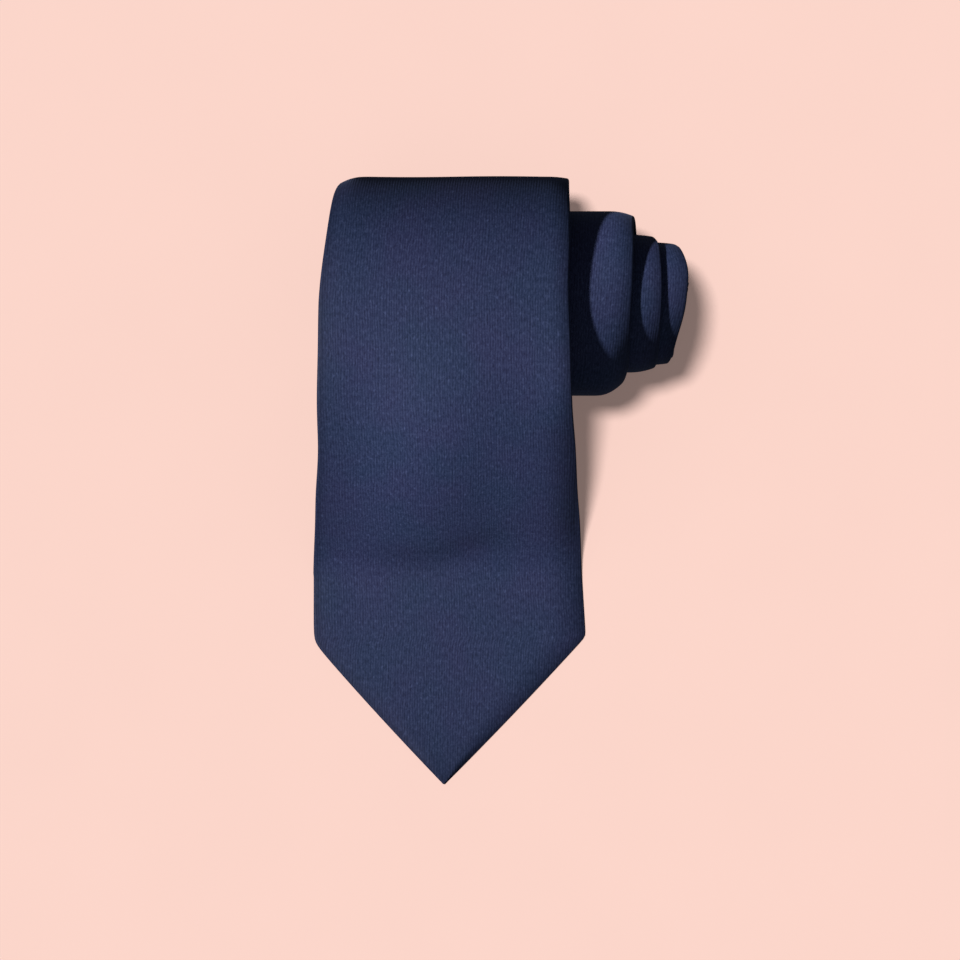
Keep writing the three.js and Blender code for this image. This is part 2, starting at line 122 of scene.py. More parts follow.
def curve(points):
    """A smooth function through points (x, y) that never overshoots them, flat beyond both ends."""
    xs, ys = np.array(points, float).T
    slopes = np.diff(ys) / np.diff(xs)
    product = slopes[:-1] * slopes[1:]
    total = np.where(product > 0, slopes[:-1] + slopes[1:], 1)
    tangents = np.concatenate(
        [slopes[:1], np.where(product > 0, 2 * product / total, 0), slopes[-1:]])

    def value(x):
        x = np.clip(np.asarray(x, float), xs[0], xs[-1])
        i = np.clip(np.searchsorted(xs, x, side="right") - 1, 0, len(xs) - 2)
        width = xs[i + 1] - xs[i]
        t = (x - xs[i]) / width
        back = 1 - t
        bend_0 = ys[i] + width / 3 * tangents[i]
        bend_1 = ys[i + 1] - width / 3 * tangents[i + 1]
        return back**3 * ys[i] + 3 * back**2 * t * bend_0 + 3 * back * t**2 * bend_1 + t**3 * ys[i + 1]

    return value


def smooth_step(x):
    """0 below 0, 1 above 1, and a soft turn between."""
    x = np.clip(x, 0, 1)
    return x * x * (3 - 2 * x)


def bump(x, centre, width):
    """A soft hill of height 1."""
    return np.exp(-(((x - centre) / width) ** 2))


def on_blade(s):
    """1 along the draped blade, fading to 0 as it goes over the roll."""
    return smooth_step((158 - s) / 34)


def on_show(s):
    """1 along the outer part of the strip, which is seen, fading to 0 inside the roll."""
    return smooth_step((330 - s) / 60)


def squarer(wave, power):
    """A sine or cosine pushed towards -1 and 1, for outlines between a circle and a box."""
    return np.sign(wave) * np.abs(wave) ** power


thickness_at = curve(THICKNESS)


def cardinal_radius(n):
    """The roll's outer radius at a whole quarter turn."""
    if n < len(OUTER_RADII):
        return OUTER_RADII[n]
    return cardinal_radius(n - 4) - float(thickness_at(n - 4)) - TURN_GAP


def strip_table():
    """The stations along the whole strip, from the blade's point to the tail's, as arrays."""
    tip_length = DRAPE_START_Y - TIP[1]
    flat = np.arange(0, tip_length, 0.25)
    ones = np.ones_like(flat)
    parts = [dict(y=TIP[1] + flat, z=BLADE_THICKNESS * ones, in_y=0 * ones, in_z=-ones,
                  thick=BLADE_THICKNESS * ones, quarter=-2 * ones)]

    t = np.linspace(0, 1, 420)
    top = AXIS_Z + OUTER_RADII[0]
    handles = np.array([
        [DRAPE_START_Y, BLADE_THICKNESS], [DRAPE_START_Y + DRAPE_HANDLES[0], BLADE_THICKNESS],
        [AXIS_Y - DRAPE_HANDLES[1], top], [AXIS_Y, top]])
    weights = np.stack([(1 - t)**3, 3 * (1 - t)**2 * t, 3 * (1 - t) * t**2, t**3], 1)
    point = weights @ handles
    speed = np.stack([(1 - t)**2, 2 * (1 - t) * t, t**2], 1) @ np.diff(handles, axis=0)
    along = speed / np.linalg.norm(speed, axis=1)[:, None]
    ones = np.ones_like(t)
    parts.append(dict(y=point[:, 0], z=point[:, 1], in_y=along[:, 1], in_z=-along[:, 0],
                      thick=BLADE_THICKNESS * ones, quarter=-ones))

    quarter = np.arange(0, LAST_QUARTER + 1e-9, 1 / 48)
    radii = np.array([cardinal_radius(n) for n in range(LAST_QUARTER + 2)])
    whole = np.floor(quarter + 1e-9).astype(int)
    share = np.sin((quarter - whole) * math.pi / 2) ** 2
    radius = radii[whole] * (1 - share) + radii[whole + 1] * share
    out_y, out_z = np.sin(quarter * math.pi / 2), np.cos(quarter * math.pi / 2)
    from_peak = np.hypot(radius * out_y - NOSE_PEAK, radius * out_z)
    nose = NOSE_X - NOSE_DEPTH * (from_peak / NOSE_RADIUS) ** 2
    right = curve(ROLL_RIGHT)(quarter)
    right = np.where(quarter < NOSE_START, right, np.maximum(nose, right))
    parts.append(dict(y=AXIS_Y + radius * out_y, z=AXIS_Z + radius * out_z, in_y=-out_y, in_z=-out_z,
                      thick=thickness_at(quarter), quarter=quarter))

    table = {k: np.concatenate([p[k] for p in parts]) for k in parts[0]}
    step = np.hypot(np.diff(table["y"]), np.diff(table["z"]))
    length = np.concatenate([[0], np.cumsum(step)])
    table["s"] = length
    roll_start = len(length) - len(quarter)
    table["right"] = curve(DRAPE_RIGHT)(length)
    table["right"][roll_start:] = right
    table["left"] = table["right"] - curve(WIDTH)(length)
    point_blade(table, tip_length)
    point_tail(table)
    soften_foot(table, tip_length)
    keep = np.concatenate([[True], np.diff(length) > 1e-6])
    return {k: v[keep] for k, v in table.items()}


def soften_foot(table, tip_length):
    """Spreads out the bend where the strip leaves the table, so that it lifts off gently."""
    # Both the samples and the bell that averages them are counted in softnesses from the foot.
    step = 0.5 / FOOT_SOFTNESS
    even = np.arange(-8, 8 + 1e-9, step) * FOOT_SOFTNESS + tip_length
    kernel = np.exp(-0.5 * np.arange(-3, 3 + 1e-9, step) ** 2)
    kernel /= kernel.sum()
    share = smooth_step(2.5 - np.abs(table["s"] - tip_length) / FOOT_SOFTNESS / 2)
    for key in ("y", "z", "in_y", "in_z"):
        smooth = np.convolve(np.interp(even, table["s"], table[key]), kernel, "same")
        table[key] = table[key] * (1 - share) + np.interp(table["s"], even, smooth) * share


def point_blade(table, tip_length):
    """The pointed end of the blade: straight edges that meet at the tip, with softened shoulders."""
    s = table["s"]
    tip = s < tip_length
    for side, (corner, corner_y), start, softness in (
        (-1, SHOULDER_LEFT, DRAPE_START_LEFT, SHOULDER_SOFTNESS[0]),
        (1, SHOULDER_RIGHT, DRAPE_START_RIGHT, SHOULDER_SOFTNESS[1]),
    ):
        shoulder = corner_y - TIP[1]
        beyond = (s - shoulder) / (tip_length - shoulder)
        slant = side * (TIP[0] + (corner - TIP[0]) * s / shoulder)
        slant = slant + EDGE_BOW * np.sin(math.pi * np.clip(s / shoulder, 0, 1))
        straight = side * (corner + (start - corner) * beyond)
        gap = np.sqrt((slant - straight) ** 2 + softness**2)
        edge = side * (slant + straight - gap) / 2
        table["left" if side < 0 else "right"][tip] = edge[tip]


def point_tail(table):
    """Narrows both edges to the tail's point."""
    to_end = table["s"][-1] - table["s"]
    share = np.clip(to_end / TAIL_POINT_LENGTH, 0, 1)
    wide = table["right"] - table["left"]
    cut = (wide - TAIL_POINT_WIDTH) * (1 - share) / 2
    table["left"] = table["left"] + cut
    table["right"] = table["right"] - cut


STRIP = strip_table()
TIE_LENGTH = STRIP["s"][-1]


def quarter_length(quarter):
    """The length from the tip to a quarter turn of the roll."""
    roll = STRIP["quarter"] >= 0
    return float(np.interp(quarter, STRIP["quarter"][roll], STRIP["s"][roll]))


def stations(lengths):
    """The strip's stations at some lengths from the tip, as columns that broadcast over points."""
    found = {k: np.interp(lengths, STRIP["s"], v)[:, None] for k, v in STRIP.items() if k != "s"}
    size = np.hypot(found["in_y"], found["in_z"])
    found["in_y"], found["in_z"] = found["in_y"] / size, found["in_z"] / size
    found["s"] = np.asarray(lengths, float)[:, None]
    found["half"] = (found["right"] - found["left"]) / 2
    found["middle"] = (found["right"] + found["left"]) / 2
    # The cloth is never rolled up quite straight.
    wobble = 0.22 * np.sin(found["s"] / 17 + 0.6) + 0.12 * np.sin(found["s"] / 6.1)
    found["middle"] = found["middle"] + wobble * smooth_step((found["s"] - 60) / 60)
    # The blade's point and the tail's are thinner, and the point lies on the table.
    point = smooth_step(found["half"] / 9)
    thin = found["thick"] * (0.45 + 0.55 * point)
    flat = found["quarter"] < -1.5
    found["z"] = found["z"] - np.where(flat, found["thick"] - thin, 0)
    found["thick"] = np.where(flat, thin, found["thick"])
    return found


def place(st, x, depth):
    """Points in metres at x across the strip, from its middle, and depth into it."""
    depth = depth - drift(st, x)
    return np.stack(np.broadcast_arrays(
        (st["middle"] + x) * MM,
        (st["y"] + st["in_y"] * depth) * MM,
        (st["z"] + st["in_z"] * depth) * MM), axis=-1)


def drift(st, x):
    """How far the whole strip stands out from its even curve: hanging freely, or easing inwards."""
    s, quarter = st["s"], st["quarter"]
    free = smooth_step((s - 64) / 28) * smooth_step((172 - s) / 30)
    ridge = 0.55 * np.cos((x + 3) / 8.7) + 0.25 * np.sin(x / 8.5 - s / 19 + 2)
    droop = 3.4 * np.clip((x - 18) / 24, 0, 1) ** 2 * smooth_step((156 - s) / 30)
    from_right = np.clip(1 - (st["half"] - x) / 8.5, 0, 1) ** 2
    from_left = np.clip(1 - (st["half"] + x) / 7, 0, 1) ** 2
    # Odd quarters are the roll's far and near sides, where its edges ease inwards.
    eased = 3.4 * bump(quarter, 3.05, 0.55) + 1.0 * bump(quarter, 5, 0.6) + 0.9 * bump(quarter, 7, 0.6)
    return free * (ridge - droop) - from_right * eased - from_left * 1.7 * bump(quarter, 1, 0.5)


def relief(s, x):
    """Soft hollows in the padded front, deeper where it is positive."""
    waves = 0.16 * np.sin(x / 9.5 + s / 37) * np.sin(s / 23 - x / 41 + 1) + 0.16
    return on_show(s) * (waves + 0.7 * crease(s, x)) - 0.13 * smooth_step((s - 700) / 80)


def crease(s, x):
    """The soft slanting crease across the foot of the drape, from 0 to 1."""
    line = 76 + 9 * smooth_step((x + 8) / 28)
    return bump(s, line, 7) * smooth_step((x + 34) / 26) * smooth_step((32 - x) / 22)


def edge_fall(side, s):
    """The share of the thickness that the front falls by at an edge, and how far in it starts.

    The right edge falls further along the blade, and within less width on the roll.
    """
    if side < 0:
        return 0.28, EDGE_ZONE
    return 0.28 + 0.4 * on_blade(s), EDGE_ZONE * (0.6 + 0.4 * on_blade(s))


def pressed(st, x):
    """How much painted shade the cloth gets, from 0 to 1: along its folded edges, and in the crease."""
    from_edge = np.abs(st["half"] - np.abs(x))
    # Painted shade along the folded edges, wider on the left and on the blade's right, and across the
    # crease.
    edge = np.exp(-(from_edge / EDGE_SHADE_WIDTH) ** 1.5)
    wide = np.where(x < 0, 0.42, 0.5 * on_blade(st["s"]))
    soft = wide * np.exp(-((from_edge / 7.5) ** 2))
    return np.maximum(edge, soft) + 0.45 * crease(st["s"], x) * (from_edge > 9)


def opening_at(s):
    """Half the gap between the two back flaps: the window at the blade's end, then the seam."""
    wide = (SHOULDER_RIGHT[0] - SHOULDER_LEFT[0]) / 2 * WINDOW_SHOULDER_SHARE
    shoulder_y = (SHOULDER_LEFT[1] + SHOULDER_RIGHT[1]) / 2
    return np.interp(
        s, [HEM * math.sqrt(2), shoulder_y + HEM / 4 - TIP[1], WINDOW_APEX_Y - TIP[1]],
        [0.12, wide, SEAM_OPENING])


# ---- Meshes ----


def new_mesh(name, points, faces, material, uv=None, normals=None, shade_amount=None):
    """A smooth-shaded object from points and faces, with the strip's own UV map."""
    mesh = bpy.data.meshes.new(name)
    mesh.from_pydata([tuple(p) for p in points], [], faces)
    mesh.polygons.foreach_set("use_smooth", [True] * len(mesh.polygons))
    if uv is not None:
        layer = mesh.uv_layers.new(name="strip")
        corner = np.empty(len(mesh.loops), np.int32)
        mesh.loops.foreach_get("vertex_index", corner)
        layer.data.foreach_set("uv", np.asarray(uv, np.float32)[corner].ravel())
    mesh.update()
    # The per-vertex share of painted shade, read by the silk's colour.
    if shade_amount is not None:
        mesh.attributes.new("pressed", "FLOAT", "POINT").data.foreach_set("value", shade_amount)
    if normals is not None:
        mesh.normals_split_custom_set_from_vertices([tuple(n) for n in normals])
    mesh.materials.append(material)
    obj = bpy.data.objects.new(name, mesh)
    bpy.context.scene.collection.objects.link(obj)
    return obj


def ring_faces(rows, count):
    """Quads between rings of points, and a cap at each end."""
    r, i = np.meshgrid(np.arange(rows - 1), np.arange(count), indexing="ij")
    j = (i + 1) % count
    quads = np.stack([r * count + i, (r + 1) * count + i, (r + 1) * count + j, r * count + j], -1)
    faces = quads.reshape(-1, 4).tolist()
    last = (rows - 1) * count
    return faces + [list(range(count)), [last + k for k in reversed(range(count))]]


def ring_normals(points):
    """Normals of a closed-ring grid of points."""
    around = np.roll(points, -1, axis=1) - np.roll(points, 1, axis=1)
    along = np.gradient(points, axis=0)
    normal = np.cross(along, around)
    return normal / np.maximum(np.linalg.norm(normal, axis=-1, keepdims=True), 1e-12)


def lengths_between(start, end, step=1.3):
    """Evenly spaced lengths, with one more beyond each end for the normals."""
    count = max(4, int(math.ceil((end - start) / step)))
    inner = np.linspace(start, end, count + 1)
    first = max(start - 0.5, FIRST_LENGTH / 2)
    last = min(end + 0.5, TIE_LENGTH)
    return np.concatenate([[first], inner, [last]])


def swept(name, start, end, profile, material, step=1.3):
    """A closed body: a profile of (x, depth, across) points, swept along a stretch of the strip."""
    st = stations(lengths_between(start, end, step))
    x, depth, across = profile(st)
    points = place(st, x, depth)
    normals = ring_normals(points)[1:-1].reshape(-1, 3)
    uv = np.stack(np.broadcast_arrays(across, st["s"]), axis=-1)[1:-1].reshape(-1, 2) * MM
    kept = points[1:-1]
    rows, count = kept.shape[:2]
    # How much painted shade each point of the piece gets.
    shade_amount = np.broadcast_to(pressed(st, x), points.shape[:2])[1:-1].ravel()
    return new_mesh(name, kept.reshape(-1, 3), ring_faces(rows, count), material, uv, normals, shade_amount)


def silk_profile(front_spans=36, flap_spans=9, fold_spans=8):
    """The silk shell: back flap, rounded fold, padded front, fold, back flap, and the inside."""
    k = np.linspace(0, 1, flap_spans + 1)
    turn = np.linspace(0, math.pi, fold_spans + 1)[1:-1]
    front = np.sin(np.linspace(-1, 1, front_spans + 1) * math.pi / 2 * 0.97)
    front = front / front[-1]

    def profile(st):
        half, thick = st["half"], st["thick"]
        hem = np.minimum(HEM_FOLD, 0.45 * thick)
        # For each side: the front's fall and where it starts, the fold's radius, where the fold
        # starts, and the flap's edge.
        drop, zone, fold, reach, lip = {}, {}, {}, {}, {}
        for side in (-1, 1):
            share, zone[side] = edge_fall(side, st["s"])
            fold[side] = np.minimum((1 - share) * thick / 2, 0.45 * half)
            drop[side] = thick - 2 * fold[side]
            reach[side] = half - fold[side]
            most = np.maximum(reach[side] - 3, 0.3 * reach[side])
            lip[side] = np.minimum(opening_at(st["s"]), most)

        def front_depth(x):
            fall = np.where(x < 0, drop[-1], drop[1])
            edge = np.where(x < 0, reach[-1], reach[1])
            width = np.minimum(np.where(x < 0, zone[-1], zone[1]), 0.45 * half)
            near = np.clip((np.abs(x) - (edge - width)) / width, 0, 1)
            return fall * near**2.1 + relief(st["s"], x) * (1 - near)

        def outside(side):
            """From the flap's edge, along the flap and round the fold."""
            flap_x = lip[side] + (reach[side] - lip[side]) * k**1.3
            flap_depth = thick - 0.35 * hem * np.exp(-(flap_x - lip[side]) / 0.5)
            lip_x = lip[side] + np.array([0.06, -0.03])
            lip_depth = thick - hem * np.array([1.0, 0.7])
            fold_x = reach[side] + fold[side] * np.sin(turn)
            fold_depth = thick - fold[side] + fold[side] * np.cos(turn)
            round_fold = reach[side] + math.pi * fold[side]
            x = np.concatenate([lip_x, flap_x, fold_x], axis=1)
            depth = np.concatenate([lip_depth, flap_depth, fold_depth], axis=1)
            across = np.concatenate([
                round_fold + reach[side] - lip_x, round_fold + reach[side] - flap_x,
                round_fold - fold[side] * turn], axis=1)
            return x, depth, across

        def inside_flap(side):
            """From the hem inside the flap to the inside of the fold."""
            hem_end = lip[side] + np.minimum(HEM_WIDTH, 0.4 * (reach[side] - lip[side]))
            x = np.concatenate([hem_end, hem_end + 0.3, reach[side], half - SILK], axis=1)
            depth = np.concatenate(
                [thick - hem, thick - SILK, thick - SILK, thick - fold[side]], axis=1)
            return x, depth

        left, right = outside(-1), outside(1)
        front_x = np.where(front < 0, reach[-1], reach[1]) * front
        under_left, under_right = inside_flap(-1), inside_flap(1)
        share = np.linspace(1, -1, 9)
        under_x = np.where(share < 0, reach[-1], reach[1]) * share
        x = np.concatenate([
            -left[0], front_x, right[0][:, ::-1], under_right[0], under_x, -under_left[0][:, ::-1]],
            axis=1)
        depth = np.concatenate([
            left[1], front_depth(front_x), right[1][:, ::-1], under_right[1],
            front_depth(under_x) + SILK, under_left[1][:, ::-1]], axis=1)
        across = np.concatenate([
            -left[2], front_x, right[2][:, ::-1], under_right[0], under_x,
            -under_left[0][:, ::-1]], axis=1)
        return x, depth, across

    return profile


SLAB_SHARES = np.array([-1, -0.5, 0, 0.5, 1, 1, 0.5, 0, -0.5, -1])  # along one face and back
SLAB_FIRST_FACE = np.arange(10) < 5


def interlining_profile(st):
    """A plain slab inside the silk, clear of its folds."""
    top = 0.42 + 0.9 * on_show(st["s"])
    bottom = st["thick"] - 0.66 - 0.2 * smooth_step((120 - st["s"]) / 40)
    x = np.maximum(st["half"] * INTERLINING_SHARE, 0.2) * SLAB_SHARES
    depth = np.where(SLAB_FIRST_FACE, np.minimum(top, bottom - 0.1), bottom)
    return x, depth, x


def tipping_profile(st):
    """The lining that shows in the window at the blade's end."""
    reach = np.maximum(opening_at(st["s"]) - TIPPING_INSET, 0.05)
    share = np.array([-1, -0.97, -0.8, -0.4, 0, 0.4, 0.8, 0.97, 1, 0.9, 0, -0.9])
    back = np.array([0.62, 0.5, 0.42, 0.36, 0.34, 0.36, 0.42, 0.5, 0.62, 0.78, 0.78, 0.78])
    return reach * share, st["thick"] - back, reach * share


def tail_tipping_profile(st):
    """The thin lining inside the tail's end."""
    x = st["half"] * TAIL_TIPPING_SHARE * SLAB_SHARES
    return x, st["thick"] - np.where(SLAB_FIRST_FACE, 0.56, 0.42), x


def tube(path, radius, sides=6):
    """Points and faces of a thin closed tube along a path, in metres."""
    path = np.asarray(path, float)
    along = np.gradient(path, axis=0)
    along /= np.linalg.norm(along, axis=1)[:, None]
    helper = np.array([0.3, 0.5, 0.81])
    one = np.cross(along, helper)
    one /= np.linalg.norm(one, axis=1)[:, None]
    two = np.cross(along, one)
    angle = np.arange(sides) * 2 * math.pi / sides
    ring = (np.cos(angle)[None, :, None] * one[:, None] + np.sin(angle)[None, :, None] * two[:, None])
    points = path[:, None] + radius * ring
    return points.reshape(-1, 3), ring_faces(len(path), sides)


def joined(parts):
    """Several (points, faces) as one."""
    points, faces, offset = [], [], 0
    for part_points, part_faces in parts:
        points.append(part_points)
        faces += [[i + offset for i in face] for face in part_faces]
        offset += len(part_points)
    return np.concatenate(points), faces


def thread_path(lengths, xs, depths):
    """A thread's path, from lengths along the strip, x, and distances out from its back."""
    st = stations(np.asarray(lengths, float))
    depth = np.asarray(depths, float)[:, None] + st["thick"]
    return place(st, np.asarray(xs, float)[:, None], depth)[:, 0]


# ---- Materials ----


class Nodes:
    """A material's node tree, with short helpers."""

    def __init__(self, name):
        self.material = bpy.data.materials.new(name)
        self.material.use_nodes = True
        self.tree = self.material.node_tree
        self.shader = self.tree.nodes["Principled BSDF"]

    def node(self, kind, **values):
        made = self.tree.nodes.new(kind)
        for key, value in values.items():
            setattr(made, key, value)
        return made

    def link(self, source, target):
        self.tree.links.new(source, target)

    def strip_uv(self, scale_x, scale_y):
        """The strip's UV map in millimetres, scaled."""
        uv = self.node("ShaderNodeUVMap", uv_map="strip")
        mapping = self.node("ShaderNodeMapping")
        mapping.inputs["Scale"].default_value = (scale_x / MM, scale_y / MM, 1)
        self.link(uv.outputs["UV"], mapping.inputs["Vector"])
        return mapping.outputs["Vector"]

    def object_space(self, scale):
        """The object's own space in millimetres, scaled."""
        coordinates = self.node("ShaderNodeTexCoord")
        mapping = self.node("ShaderNodeMapping")
        mapping.inputs["Scale"].default_value = (scale / MM, scale / MM, scale / MM)
        self.link(coordinates.outputs["Object"], mapping.inputs["Vector"])
        return mapping.outputs["Vector"]

    def noise(self, vector, detail=2.0, roughness=0.5):
        made = self.node("ShaderNodeTexNoise")
        made.inputs["Scale"].default_value = 1.0
        made.inputs["Detail"].default_value = detail
        made.inputs["Roughness"].default_value = roughness
        self.link(vector, made.inputs["Vector"])
        return made.outputs["Fac"]

    def math(self, operation, a, b=0.5, c=0.0):
        made = self.node("ShaderNodeMath", operation=operation)
        for socket, value in zip(made.inputs, (a, b, c)):
            if hasattr(value, "is_output"):
                self.link(value, socket)
            else:
                socket.default_value = value
        return made.outputs[0]

    def wave(self, phase):
        """A sine between 0 and 1."""
        return self.math("MULTIPLY_ADD", self.math("SINE", phase), 0.5, 0.5)

    def ramp(self, factor, stops):
        made = self.node("ShaderNodeValToRGB")
        elements = made.color_ramp.elements
        while len(elements) < len(stops):
            elements.new(0.5)
        for element, (at, colour) in zip(elements, stops):
            element.position = at
            element.color = (*colour, 1)
        self.link(factor, made.inputs["Fac"])
        return made.outputs["Color"]

    def mix(self, factor, a, b):
        made = self.node("ShaderNodeMix", data_type="RGBA")
        sockets = {s.identifier: s for s in made.inputs}
        for key, value in (("Factor_Float", factor), ("A_Color", a), ("B_Color", b)):
            socket = sockets[key]
            if hasattr(value, "is_output"):
                self.link(value, socket)
            else:
                socket.default_value = value if key == "Factor_Float" else (*value, 1)
        return made.outputs["Result"]

    def bump(self, height, distance, strength):
        """Relief on the shader; distance is in millimetres."""
        made = self.node("ShaderNodeBump")
        made.inputs["Distance"].default_value = distance * MM
        made.inputs["Strength"].default_value = strength
        self.link(height, made.inputs["Height"])
        self.link(made.outputs["Normal"], self.shader.inputs["Normal"])

    def set(self, **values):
        """Constants on the shader's own sockets."""
        for key, value in values.items():
            self.shader.inputs[key.replace("_", " ")].default_value = value

    def parted(self, vector):
        """A vector's first two parts."""
        split = self.node("ShaderNodeSeparateXYZ")
        self.link(vector, split.inputs[0])
        return split.outputs["X"], split.outputs["Y"]


def silk_material(name, dark, middle, light):
    """Ribbed silk: fine cords along the strip, broken by short slubs and light flecks."""
    n = Nodes(name)
    u, v = n.parted(n.strip_uv(1, 1))
    waver = n.noise(n.strip_uv(0.25, 0.06), detail=1)
    rib = n.wave(n.math("MULTIPLY_ADD", u, 2 * math.pi / RIB_PERIOD, n.math("MULTIPLY", waver, 9.0)))
    yarn = n.wave(n.math("MULTIPLY", v, 2 * math.pi / YARN_PERIOD))
    slub = n.noise(n.strip_uv(1.5, 0.55), detail=1.5, roughness=0.6)
    grain = n.noise(n.strip_uv(2.3, 1.5), detail=1.5, roughness=0.6)
    fleck = n.noise(n.strip_uv(1.1, 0.6), detail=1)
    fleck = n.math("MULTIPLY", n.math("SUBTRACT", fleck, 0.62), 5.0)
    fleck = n.math("MINIMUM", n.math("MAXIMUM", fleck, 0.0), 1.0)
    tone = n.math("MULTIPLY_ADD", rib, 0.13, -0.2)
    tone = n.math("MULTIPLY_ADD", slub, 0.75, tone)
    tone = n.math("MULTIPLY_ADD", grain, 0.5, tone)
    colour = n.ramp(tone, [(0.25, dark), (0.49, middle), (0.75, light)])
    cloudy = n.noise(n.strip_uv(0.045, 0.035), detail=3)
    violet = tuple(c * f for c, f in zip(middle, (1.5, 0.95, 1.1)))
    teal = tuple(c * f for c, f in zip(middle, (0.7, 1.12, 0.95)))
    cast = n.ramp(cloudy, [(0.38, teal), (0.62, violet)])
    colour = n.mix(0.25, colour, cast)
    colour = n.mix(n.math("MULTIPLY", fleck, 0.45), colour, tuple(1.7 * c for c in light))
    # Painted shade: the colour darkens towards a dark navy along the folded edges and in the crease.
    shade_amount = n.node("ShaderNodeAttribute", attribute_name="pressed").outputs["Fac"]
    colour = n.mix(n.math("MULTIPLY", shade_amount, 0.6), colour, tuple(0.45 * c for c in dark))
    n.link(colour, n.shader.inputs["Base Color"])
    rough = n.math("MULTIPLY_ADD", grain, 0.2, 0.54)
    n.link(rough, n.shader.inputs["Roughness"])
    n.set(Sheen_Weight=0.06, Sheen_Roughness=0.4, Sheen_Tint=(0.5, 0.6, 1.0, 1), Specular_IOR_Level=0.15)
    height = n.math("MULTIPLY_ADD", rib, 0.45, n.math("MULTIPLY", slub, 0.8))
    height = n.math("MULTIPLY_ADD", yarn, 0.15, height)
    n.bump(height, 0.1, 0.5)
    return n.material


def lining_material(name):
    """Smooth satin lining with a fine slanting weave."""
    n = Nodes(name)
    u, v = n.parted(n.strip_uv(1, 1))
    twill = n.wave(n.math("ADD", n.math("MULTIPLY", u, 9.0), n.math("MULTIPLY", v, 14.0)))
    cloud = n.noise(n.strip_uv(0.12, 0.5), detail=3)
    tone = n.math("MULTIPLY_ADD", twill, 0.35, n.math("MULTIPLY", cloud, 0.65))
    colour = n.ramp(tone, [(0.2, (0.012, 0.015, 0.04)), (0.8, (0.028, 0.034, 0.085))])
    n.link(colour, n.shader.inputs["Base Color"])
    n.link(n.math("MULTIPLY_ADD", cloud, 0.2, 0.25), n.shader.inputs["Roughness"])
    n.set(Sheen_Weight=0.1, Specular_IOR_Level=0.5)
    n.bump(twill, 0.04, 0.4)
    return n.material


def wool_material(name):
    """Brushed interlining: fibres in every direction."""
    n = Nodes(name)
    fibres = n.noise(n.strip_uv(0.9, 0.9), detail=5, roughness=0.75)
    crossing = n.noise(n.strip_uv(0.2, 3.0), detail=2)
    tone = n.math("MULTIPLY_ADD", fibres, 0.6, n.math("MULTIPLY", crossing, 0.4))
    colour = n.ramp(tone, [(0.3, (0.5, 0.45, 0.36)), (0.7, (0.78, 0.73, 0.63))])
    n.link(colour, n.shader.inputs["Base Color"])
    n.link(n.math("MULTIPLY_ADD", fibres, 0.1, 0.85), n.shader.inputs["Roughness"])
    n.set(Sheen_Weight=0.4)
    n.bump(fibres, 0.2, 0.6)
    return n.material


def thread_material(name):
    """Sewing thread: a fibrous, uneven tone and relief."""
    n = Nodes(name)
    fibre = n.noise(n.object_space(2.2), detail=3, roughness=0.7)
    colour = n.ramp(fibre, [(0.3, (0.014, 0.017, 0.042)), (0.7, (0.05, 0.058, 0.125))])
    n.link(colour, n.shader.inputs["Base Color"])
    n.link(n.math("MULTIPLY_ADD", fibre, 0.3, 0.4), n.shader.inputs["Roughness"])
    n.set(Sheen_Weight=0.3)
    n.bump(fibre, 0.05, 0.7)
    return n.material


def label_material(name):
    """Blank woven satin tape with fine warp lines."""
    n = Nodes(name)
    u, v = n.parted(n.strip_uv(1, 1))
    warp = n.wave(n.math("MULTIPLY", u, 22.0))
    weft = n.wave(n.math("MULTIPLY", v, 15.0))
    cloud = n.noise(n.strip_uv(0.5, 0.2), detail=2)
    tone = n.math("MULTIPLY_ADD", warp, 0.3, n.math("MULTIPLY", cloud, 0.6))
    colour = n.ramp(tone, [(0.2, (0.6, 0.58, 0.53)), (0.8, (0.84, 0.82, 0.77))])
    n.link(colour, n.shader.inputs["Base Color"])
    n.link(n.math("MULTIPLY_ADD", weft, 0.12, 0.36), n.shader.inputs["Roughness"])
    n.set(Sheen_Weight=0.15)
    n.bump(n.math("ADD", warp, weft), 0.03, 0.5)
    return n.material


SILK_CLOTH = silk_material(
    "navy_rib_silk", (0.0095, 0.0142, 0.043), (0.024, 0.0342, 0.091), (0.052, 0.069, 0.152))
LINING_CLOTH = lining_material("navy_satin_lining")
WOOL_CLOTH = wool_material("wool_interlining")
THREAD = thread_material("navy_thread")
LABEL_TAPE = label_material("blank_satin_tape")


# ---- The stretches, and how each one moves ----

DRAPE_MIDDLE = 125.0
BODY = {
    "tip": "blade_tip",
    "drape": "blade_drape",
    "outer": "roll_outer",
    "first": "roll_first_turn",
    "second": "roll_second_turn",
    "core": "roll_core",
}


def along_y(a, b):
    """The start and end of a bend that follows y."""
    return (0, a * MM, 0), (0, b * MM, 0)


def along_z(a, b):
    """The start and end of a bend that follows z."""
    return (0, 0, a * MM), (0, 0, b * MM)


TIP_BEND = along_y(-44, -14)

